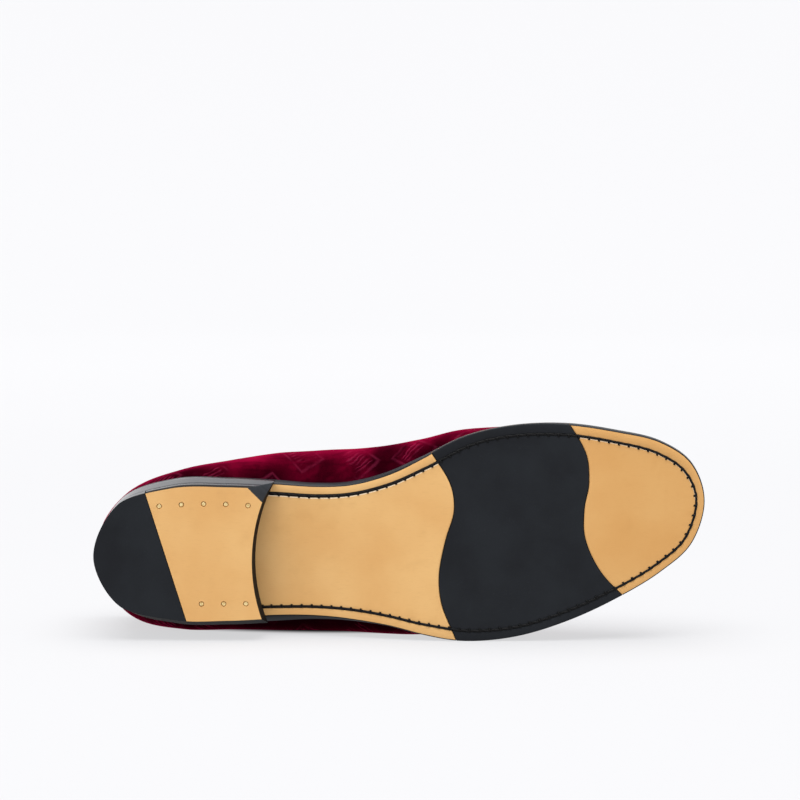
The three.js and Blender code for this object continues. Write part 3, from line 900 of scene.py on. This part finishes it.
def ring_inset(t, ring):
    """Distance of a ring from the sole's edge."""
    inset = EDGE_RINGS["inset"][ring]
    bevelled = bevel_at(t) * np.clip(1 - EDGE_RINGS["depth"][ring] / OUTSOLE, 0, 1)
    sewn = on_side(STITCH, t) + on_side(STITCH, t, "_half") * inset
    return np.where(EDGE_RINGS["line"][ring] == STITCH_LINE, sewn, bevelled + inset)


def wave_turn(column, side, ring):
    """Turn at which a ring of the edge crosses a wave, counted from the heel on its own side."""
    def behind(t):
        flat = set_in(side * t, ring_inset(side * t, ring))
        return flat[..., 0] < along(WAVE, column, flat[..., 1])

    low, high = np.full(ring.shape, row_turn(WELT_ROW)), np.full(ring.shape, 0.5)
    return halve(behind, low, high)


EDGE_LENGTH = length(np.diff(edge_at(np.linspace(0, 1, 2000)), axis=0)).sum()
RINGS = np.arange(len(EDGE_RINGS["inset"]))
CROSSING = {(c, s): wave_turn(c, s, RINGS) for c in ("rear", "front") for s in (1, -1)}


def shares(count, start_edge, end_edge):
    """Even steps from 0 to 1, with one more close to each end that is a wave."""
    steps = np.linspace(0, 1, count)
    extra = [start_edge] * (start_edge > 0) + [1 - end_edge] * (end_edge > 0)
    return np.sort(np.concatenate([steps, extra]))


def side_rings(side, start, end, steps, rings, margin):
    """Rings of the edge on one side, at steps from one wave to the next."""
    first = CROSSING[start, side][rings] + margin / EDGE_LENGTH if start else 0
    last = CROSSING[end, side][rings] - margin / EDGE_LENGTH if end else 0.5
    t = side * (first + (last - first) * steps[:, None] + np.zeros(len(rings)))
    return set_in(t, ring_inset(t, np.broadcast_to(rings, t.shape)))


def sole_sections(start, end, steps, rings, floor=0.0, margin=0.0):
    """Closed sections of the sole. start and end name the waves that they run between, or nothing."""
    outer, inner = (side_rings(side, start, end, steps, rings, margin) for side in (1, -1))
    w = np.linspace(0, 1, ACROSS + 1)[1:-1, None]
    middle = outer[:, -1:] * (1 - w) + inner[:, -1:] * w
    centre = (outer[:, -1, 0] + inner[:, -1, 0]) / 2
    edge = np.maximum(EDGE_RINGS["depth"][rings], floor)
    depth = np.tile(np.concatenate([edge, np.full(len(w), floor), edge[::-1]]), (len(steps), 1))
    for name, index, shift in ((start, 0, margin), (end, -1, -margin)):
        if name:
            chord = middle[index]
            bulge = along(WAVE, name, chord[:, 1]) + shift - chord[:, 0]
            near = np.clip(1 - np.abs(centre - centre[index]) / WAVE_FADE, 0, 1)
            middle[..., 0] += hermite(0, 1, 0, 0, near)[:, None] * bulge
            if floor == 0:
                depth[index] += WAVE_DIP * (depth[index] < INSERT_DEPTH - WAVE_DIP)
    return np.concatenate([outer, middle, inner[:, ::-1]], 1), depth


def section_slots(rings):
    """Material of each step round a section. The lip's painted highlight is on the inner side only, which
    faces up to the light.
    """
    inner = EDGE_RINGS["slot"][rings][:-1].astype(int)
    outer = np.where(inner == HIGHLIGHT_SLOT, TAN_SLOT, inner)
    return np.concatenate([outer, np.full(ACROSS, TAN_SLOT), inner[::-1], [EDGE_SLOT]])


def wave_wall(work, flat, depth, deep):
    """Wall that runs from the sole's bottom into it along a wave."""
    keep = depth < deep
    work.grid(work.add(np.stack([lifted(flat[keep], depth[keep]), lifted(flat[keep], deep)])), TAN_SLOT)


def make_outsole():
    work = Build()
    parts = (
        (None, "rear", -1, shares(REAR_STEPS, 0, WAVE_EDGE / REAR_LENGTH)),
        ("front", None, 0, shares(TOE_STEPS, WAVE_EDGE / TOE_LENGTH, 0)),
    )
    for start, end, index, steps in parts:
        flat, depth = sole_sections(start, end, steps, RINGS)
        work.tube(lifted(flat, depth), section_slots(RINGS))
        wave_wall(work, flat[index], depth[index], INSERT_DEPTH + 2 * GAP)
    over = RINGS[EDGE_RINGS["depth"] >= INSERT_DEPTH]
    steps = np.linspace(0, 1, OVER_STEPS)
    flat, depth = sole_sections("rear", "front", steps, over, floor=INSERT_DEPTH + GAP)
    work.tube(lifted(flat, depth), section_slots(over))
    work.piece("outsole", [TAN, EDGE, CHANNEL, LIP_HIGHLIGHT_TAN], ["outsole"], "tan_leather", sharp=True)


def make_insert():
    work = Build()
    under = RINGS[EDGE_RINGS["depth"] <= INSERT_DEPTH]
    steps = shares(INSERT_STEPS, WAVE_EDGE / INSERT_LENGTH, WAVE_EDGE / INSERT_LENGTH)
    flat, depth = sole_sections("rear", "front", steps, under, margin=GAP)
    work.tube(lifted(flat, depth), section_slots(under))
    for index in (0, -1):
        wave_wall(work, flat[index], depth[index], INSERT_DEPTH)
    work.piece("forefoot_insert", [RUBBER] * 4, ["forefoot_insert"], "black_rubber", sharp=True)


# Stitches: the rows' distance from one to the next, half width and overlap (a space is below 0)
SOLE_ROW = {"pitch": 4.8, "half": 0.6, "overlap": 0.3, "knots": True}
WELT_THREAD = {"pitch": 3.6, "half": 0.36, "overlap": -0.18, "knots": False}
WELT_THREAD_INSET = WELT_SETBACK + 1.5
WELT_THREAD_LIFT = 0.12
STITCH_START = 77
STITCH_DEPTH = 0.1
STITCH_RINGS = 9
STITCH_SIDES = 8
STITCH_SLANT = 0.9
STITCH_SINK = 0.6
STITCH_FLATNESS = 0.8
PATH_STEPS = 900
KNOT_RINGS = 6
KNOT_IN = 1.2
KNOT_OUT = 0.5
KNOT_HALF = 0.6
KNOT_LIFT = 0.15
KNOT_LEAN = 0.4


def path_frame(points, distance):
    """Places and directions along a path at distances from its start."""
    run = np.concatenate([[0], np.cumsum(length(np.diff(points, axis=0)))])

    def at(values):
        return np.stack([np.interp(distance, run, column) for column in values.T], -1)

    return at(points), unit(at(unit(np.gradient(points, axis=0))))


def sew(name, path, away, pitch, half, overlap, knots):
    """A row of stitches along a path, lying on its side away from the sole or the welt."""
    share = np.linspace(0, 1, STITCH_RINGS)
    body = half * np.sin(np.pi * (0.06 + 0.88 * share)) ** 0.35
    slant = STITCH_SLANT * half * (share - 0.5)
    work = Build()
    for k in range(int(length(np.diff(path, axis=0)).sum() / pitch)):
        start, ahead = path_frame(path, (k + share * (1 + overlap) - overlap / 2) * pitch)
        across = unit(np.cross(ahead, away))
        middle = start + across * slant[:, None] - away * (STITCH_SINK * (half - body))[:, None]
        up = away * (STITCH_FLATNESS * body)[:, None]
        work.tube(hoops(middle, across * body[:, None], up, STITCH_SIDES), capped=True)
        if knots:
            knot(work, start[0], ahead[0], across[0], away)
    work.piece(name, [THREAD], (), "black_leather")


def knot(work, centre, ahead, across, away):
    """Thread turning down into its hole on the inner side of the row."""
    level = np.linspace(0, 1, KNOT_RINGS)[:, None]
    half = KNOT_HALF * np.sqrt(1 - (1.3 * (level - 0.5)) ** 2)
    reach = KNOT_OUT - (KNOT_OUT + KNOT_IN) * level
    middle = centre + away * KNOT_LIFT + across * reach - ahead * KNOT_LEAN * level
    work.tube(hoops(middle, ahead * half, away * half, STITCH_SIDES), capped=True)


def make_stitches():
    down = np.array([0.0, 0.0, -1.0])
    near, far = np.array(row_turn(2)), np.array(row_turn(WELT_ROW + 1))
    first = halve(lambda t: edge_at(t)[..., 0] < STITCH_START, near, far)
    t = np.linspace(first, 1 - first, PATH_STEPS)
    sole = lifted(set_in(t, on_side(STITCH, t)), STITCH_DEPTH)
    sew("sole_stitches", sole, down, **SOLE_ROW)
    welt = lifted(set_in(t, WELT_THREAD_INSET), OUTSOLE + GAP + WELT + WELT_THREAD_LIFT)
    sew("welt_stitches", welt, -down, **WELT_THREAD)


# Welt and insole
WELT_ROUND = 0.5
WELT_STEPS = 500
INSOLE_STEPS = 160
# Rings of the insole's edge from its bottom to its top
INSOLE_EDGE = table("height inset", (0, 0), (INSOLE - 0.5, 0), (INSOLE - 0.15, 0.2), (INSOLE, 0.6))


def make_welt():
    end = row_turn(WELT_ROW) - row_turn(1) / 4
    t = np.linspace(end, 1 - end, WELT_STEPS)
    inner, outer = foot_at(t, -WELT_CLEAR), set_in(t, WELT_SETBACK)
    rounded = WELT_ROUND * unit(outer - inner)
    corners = (
        (inner, 0),
        (outer, 0),
        (outer, WELT - WELT_ROUND),
        (outer - 0.3 * rounded, WELT - 0.3 * WELT_ROUND),
        (outer - rounded, WELT),
        (inner, WELT),
    )
    rings = [lifted(flat, OUTSOLE + GAP + depth) for flat, depth in corners]
    work = Build()
    work.tube(np.stack(rings, 1), capped=True)
    work.piece("welt", [EDGE], ["welt"], "black_leather", sharp=True)


def make_insole():
    t = np.linspace(0, 0.5, INSOLE_STEPS)

    def side(turn):
        rows = zip(*INSOLE_EDGE.values())
        return [lifted(foot_at(turn, WALL + 3 * GAP + i), OUTSOLE + GAP + height) for height, i in rows]

    outer, inner = side(t), side(1 - t)
    across = [outer[-1] + (inner[-1] - outer[-1]) * w for w in np.linspace(0, 1, ACROSS + 1)[1:-1]]
    middle = [lifted(points[:, :2], OUTSOLE + GAP + INSOLE) for points in across]
    work = Build()
    work.tube(np.stack([*outer, *middle, *reversed(inner)], 1))
    work.piece("insole", [LINING], ["insole"], "lining_leather", sharp=True)


# Heel
HEEL_STEPS = 160
BREAST_STEPS = 40
CLIP_STEPS = 6
HEEL_LEVELS = 6
HEEL_REACH = row_turn(5)
HEEL_ROUND = 0.07
ROUNDED_ANGLE = math.radians(35)
HEEL_SHARP = math.radians(40)
SEAM = 0.06
NAIL_CLEAR = 0.15
NAIL_SIDES = 24
TREAD_SLOT, SIDE_SLOT, BREAST_SLOT = 0, 1, 2
DARK_LEVELS = {"stack": 0, "tip": 1, "front": 3}
BRIGHT_SHARE = 0.64


def flare_at(t):
    """How far the tread is set in under the seat."""
    side = np.where(is_outer(t), FLARE_OUTER, FLARE_INNER)
    bend = np.where(is_outer(t), BEND_OUTER, BEND_INNER)
    return FLARE_BACK + (side - FLARE_BACK) * np.abs(inward_at(t)[..., 1]) ** bend


def heel_edge(t, height_at):
    """Outline of the heel at a height that may follow the seat."""
    seat = bottom_at(edge_at(t)[..., 0])
    height = height_at(seat)
    return at_height(set_in(t, flare_at(t) * (1 - height / seat)), height)


def breast_x(y, z):
    """Hollow front of the heel: an arc at the tread that grows rounder up to the seat."""
    radius = BREAST["radius"]
    across = np.asarray(y, float)[..., None] - BREAST["y"]
    arcs = BREAST["x"] + radius - np.sqrt(radius**2 - across**2)
    share = z / BREAST_RISE
    return arcs[..., 0] * (1 - share) + arcs[..., 1] * share


def clip_line(x, z):
    return x - CLIP_X + CLIP_Y - CLIP_LEG * z / CLIP_RISE


def joint_x(y):
    slant = (JOINT_OUTER - JOINT_INNER) / (2 * JOINT_Y)
    return (JOINT_OUTER + JOINT_INNER) / 2 + slant * y


def heel_corners(height_at):
    """Turns of the outline at the joint and breast, and where the clipped corner meets the breast."""
    near, far = np.array(0.0), np.array(HEEL_REACH)

    def crossing(side, test):
        return side * halve(lambda t: test(*heel_edge(side * t, height_at)), near, far)

    def behind_breast(x, y, z):
        return x < breast_x(y, z)

    def behind_clip(x, y, z):
        return y > clip_line(x, z)

    def behind_joint(x, y, z):
        return x < joint_x(y)

    level = height_at(bottom_at(BREAST["x"][0]))
    wide = np.array(2.0 * JOINT_Y)
    clip_y = -halve(lambda y: behind_clip(breast_x(-y, level), -y, level), near, wide)
    clip = max(crossing(-1, behind_clip), crossing(-1, behind_breast))
    return {
        "breast": crossing(1, behind_breast),
        "clip": clip,
        "joint_outer": crossing(1, behind_joint),
        "joint_inner": crossing(-1, behind_joint),
        "breast_clip_y": max(clip_y, heel_edge(clip, height_at)[1]),
    }


def heel_ring(height_at, kind):
    """Closed outline of the stack, the top piece or the tip at a height."""
    at = heel_corners(height_at)

    def edge(start, end, steps):
        return heel_edge(np.linspace(start, end, steps), height_at)

    front = edge(at["breast"], at["breast"], 1)[0]
    y = np.linspace(front[1], at["breast_clip_y"], BREAST_STEPS)[1:]
    level = height_at(bottom_at(breast_x(y, BREAST_RISE)))
    breast = np.stack([breast_x(y, level), y, level], -1)
    corner = edge(at["clip"], at["clip"], 1)[0]
    clip = breast[-1] + (corner - breast[-1]) * np.linspace(0, 1, CLIP_STEPS)[1:-1, None]
    shift = np.array([GAP / 2, 0, 0])
    if kind == "stack":
        return np.concatenate([edge(at["clip"], at["breast"], HEEL_STEPS), breast, clip])
    if kind == "tip":
        return edge(at["joint_inner"], at["joint_outer"], HEEL_STEPS) - shift
    inner = edge(at["clip"], at["joint_inner"], HEEL_STEPS // 4)
    outer = edge(at["joint_outer"], at["breast"], HEEL_STEPS // 4)
    inner[-1] += shift
    outer[0] += shift
    return np.concatenate([inner, outer, breast, clip])


def nails():
    for row, y, bow, first, count in NAIL_ROWS:
        for k in range(count):
            bowed = y + bow * math.sin(math.pi * k / (count - 1))
            yield f"nail_{row}_{k + 1}", first + NAIL_PITCH * k, bowed


def nail_holes():
    """Round cutters for the nails' holes in the top piece."""
    work = Build()
    ring = circle(NAIL_SIDES) * (NAIL_RADIUS + NAIL_CLEAR)
    for _, x, y in nails():
        ends = [at_height(ring + (x, y), z) for z in (-1, NAIL_SUNK + NAIL_LENGTH + GAP)]
        work.tube(np.stack(ends), capped=True)
    mesh = work.mesh("holes", [TAN])
    tidy(mesh)
    return new_object("holes", mesh)


def finished(piece, cutter):
    """Cut holes into a piece and round its edges."""
    if cutter:
        cut = piece.modifiers.new("holes", "BOOLEAN")
        cut.object = cutter
        cut.solver = "EXACT"
    bevel = piece.modifiers.new("edges", "BEVEL")
    bevel.width = HEEL_ROUND * MM
    bevel.segments = 3
    bevel.limit_method = "ANGLE"
    bevel.angle_limit = ROUNDED_ANGLE
    graph = bpy.context.evaluated_depsgraph_get()
    mesh = bpy.data.meshes.new_from_object(piece.evaluated_get(graph))
    piece.modifiers.clear()
    piece.data = mesh
    mesh.shade_smooth()
    mesh.set_sharp_from_angle(angle=HEEL_SHARP)
    for face in mesh.polygons:
        face.use_smooth = face.material_index != TREAD_SLOT
    if cutter:
        bpy.data.objects.remove(cutter)


def ring_slots(kind):
    """Material of each step up and round the heel, dull next to the tread and on the outer side."""
    bright = round(BRIGHT_SHARE * HEEL_STEPS)
    dull = HEEL_STEPS - 1 - bright
    breast, clip = [BREAST_SLOT] * (BREAST_STEPS - 1), [SIDE_SLOT] * (CLIP_STEPS - 1)
    quarter = HEEL_STEPS // 4 - 1
    around = {
        "stack": [SIDE_SLOT] * bright + [BREAST_SLOT] * dull + breast + clip,
        "tip": [SIDE_SLOT] * bright + [BREAST_SLOT] * (dull + 1),
        "front": [SIDE_SLOT] * quarter + [BREAST_SLOT] * (quarter + 1) + breast + clip,
    }
    slots = np.tile(around[kind], (HEEL_LEVELS - 1, 1))
    whole = len(slots[0]) - (len(clip) if kind == "front" else 0)
    slots[: DARK_LEVELS[kind], :whole] = BREAST_SLOT
    return slots


def heel_body(name, kind, low_at, high_at, materials, slot, cutter=None):
    def between(share):
        return lambda seat: low_at(seat) + (high_at(seat) - low_at(seat)) * share

    work = Build()
    rings = [heel_ring(between(share), kind) for share in np.linspace(0, 1, HEEL_LEVELS)]
    work.tube(np.stack(rings), ring_slots(kind), capped=True, last=BREAST_SLOT)
    finished(work.piece(name, materials, [name], slot), cutter)


def make_heel():
    def at(height):
        return lambda seat: np.full(np.shape(seat), float(height))

    def under_seat(seat):
        return seat - SEAM

    tread, lift = at(0), at(TOP_LIFT)
    sides = [BURNISHED, BLACKENED]
    heel_body("heel_stack", "stack", at(TOP_LIFT + SEAM), under_seat, [BLACKENED, *sides], "black_leather")
    heel_body("heel_tip", "tip", tread, lift, [RUBBER, *sides], "black_rubber")
    heel_body("top_piece", "front", tread, lift, [TAN, *sides], "tan_leather", nail_holes())
    for name, x, y in nails():
        make_nail(name, x, y)


# Nail from the middle of its head to its point: radius share and height over the tread
NAIL_PROFILE = table(
    "radius height",
    (0.02, 0.05),
    (0.35, 0.06),
    (0.7, 0.12),
    (0.9, 0.24),
    (1, 0.45),
    (1, NAIL_LENGTH),
    (0.02, NAIL_LENGTH),
)


def make_nail(name, x, y):
    ring = circle(NAIL_SIDES) * NAIL_RADIUS
    rings = [at_height(ring * radius + (x, y), height) for radius, height in zip(*NAIL_PROFILE.values())]
    work = Build()
    work.tube(np.stack(rings), capped=True)
    work.piece(name, [BRASS], [name], "brass", sharp=True)


# Floor, light and camera
FLOOR_RADIUS = 2.2
FLOOR_CURVE = 0.8
FLOOR_GLOW = 0.64
WALL_GLOW = 0.78
GLOW_START = 0.3
# Oval under the shoe where the floor doesn't glow, a painted shadow
SHADE_MIDDLE = (-0.025, 0.009)
SHADE_HALF = (0.085, 0.028)
WALL_TOP = 1.6
FLAT_RADII = (0.01, 0.6, 1.4)
BEND_STEPS = 16
FLOOR_SIDES = 96
SKY_COLOUR = (0.98, 0.985, 1.0, 1)
SKY_STRENGTH = 0.52
# Name, place, aim, width and power of each light
LIGHTS = (("overhead", (0, 0, 2.2), (0, 0, 0), 3.0, 110), ("key", (-0.7, -0.7, 1.6), (0, 0, 0.05), 1.0, 4))
CAMERA_DISTANCE = 1.5
CAMERA_PITCH = 5.0
PIXELS_PER_METRE = 2137
IMAGE_PIXELS = 800
SENSOR = 36
AIM = (0.0, -0.043, 0.052)
AIM_PIXEL = (398.7, 531.1)


def floor_material():
    """Pale floor whose glow makes up for the light's fall towards the wall, left out under the shoe as a
    painted shadow that also darkens the shoe's underside.
    """
    shader = Shader("lit_floor", 0.9, Specular_IOR_Level=0.0)
    shader.main.inputs["Emission Color"].default_value = (0.985, 0.985, 1.0, 1)
    away = shader.node("VectorMath", "Value", operation="LENGTH", Vector=shader.place)
    glow = shader.span(away, GLOW_START, FLOOR_RADIUS, FLOOR_GLOW, WALL_GLOW)
    # painted shadow: the glow fades out in an oval under the shoe
    scale = (1 / SHADE_HALF[0], 1 / SHADE_HALF[1], 0)
    centre = (-SHADE_MIDDLE[0] * scale[0], -SHADE_MIDDLE[1] * scale[1], 0)
    oval = shader.node("Mapping", "Vector", Vector=shader.place, Location=centre, Scale=scale)
    beside = shader.node("VectorMath", "Value", operation="LENGTH", Vector=oval)
    glow = shader.math("MULTIPLY", glow, shader.span(beside, 0.75, 1.15))
    shader.put(shader.main.inputs["Emission Strength"], glow)
    haze = shader.noise(1.2, 2.0)
    shader.colour((0.142, 0.142, 0.146, 1), (haze, (0.152, 0.152, 0.156, 1)))
    return shader.material


def make_floor():
    """Pale studio floor that curves up into a wall all round."""
    bend = np.linspace(0, np.pi / 2, BEND_STEPS)
    wall = FLOOR_RADIUS + FLOOR_CURVE
    radius = [*FLAT_RADII, *(FLOOR_RADIUS + FLOOR_CURVE * np.sin(bend)), wall]
    height = [*np.zeros(len(FLAT_RADII)), *(FLOOR_CURVE * (1 - np.cos(bend))), WALL_TOP]
    work = Build()
    ids = work.add(np.stack([at_height(circle(FLOOR_SIDES) * r, z) for r, z in zip(radius, height)]))
    work.grid(np.concatenate([ids, ids[:, :1]], 1)[::-1])
    work.face(ids[0])
    mesh = work.mesh("floor", [floor_material()], np.asarray)
    mesh.shade_smooth()
    new_object("floor", mesh)


def make_light(name, place, aim, size, power):
    lamp = bpy.data.lights.new(name, "AREA")
    lamp.shape = "DISK"
    lamp.size = size
    lamp.energy = power
    made = new_object(name, lamp)
    made.location = place
    made.rotation_euler = (Vector(aim) - Vector(place)).to_track_quat("-Z", "Y").to_euler()


def make_lights():
    world = bpy.data.worlds.new("studio")
    world.use_nodes = True
    sky = world.node_tree.nodes["Background"]
    sky.inputs["Color"].default_value = SKY_COLOUR
    sky.inputs["Strength"].default_value = SKY_STRENGTH
    bpy.context.scene.world = world
    for light in LIGHTS:
        make_light(*light)
    bpy.context.scene.view_settings.view_transform = "Standard"


def make_camera():
    lens = bpy.data.cameras.new("camera")
    lens.sensor_width = SENSOR
    lens.lens = PIXELS_PER_METRE * CAMERA_DISTANCE * SENSOR / IMAGE_PIXELS
    pitch = math.radians(CAMERA_PITCH)
    ahead = Vector((0, math.cos(pitch), -math.sin(pitch)))
    up = Vector((0, math.sin(pitch), math.cos(pitch)))
    right = (IMAGE_PIXELS / 2 - AIM_PIXEL[0]) / PIXELS_PER_METRE
    above = (AIM_PIXEL[1] - IMAGE_PIXELS / 2) / PIXELS_PER_METRE
    made = new_object("camera", lens)
    made.location = Vector(AIM) - ahead * CAMERA_DISTANCE + up * above + Vector((right, 0, 0))
    made.rotation_euler = (math.pi / 2 - pitch, 0, 0)
    bpy.context.scene.camera = made


make_upper()
make_binding()
make_outsole()
make_insert()
make_stitches()
make_welt()
make_insole()
make_heel()
make_floor()
make_lights()
make_camera()

bpy.context.view_layer.update()
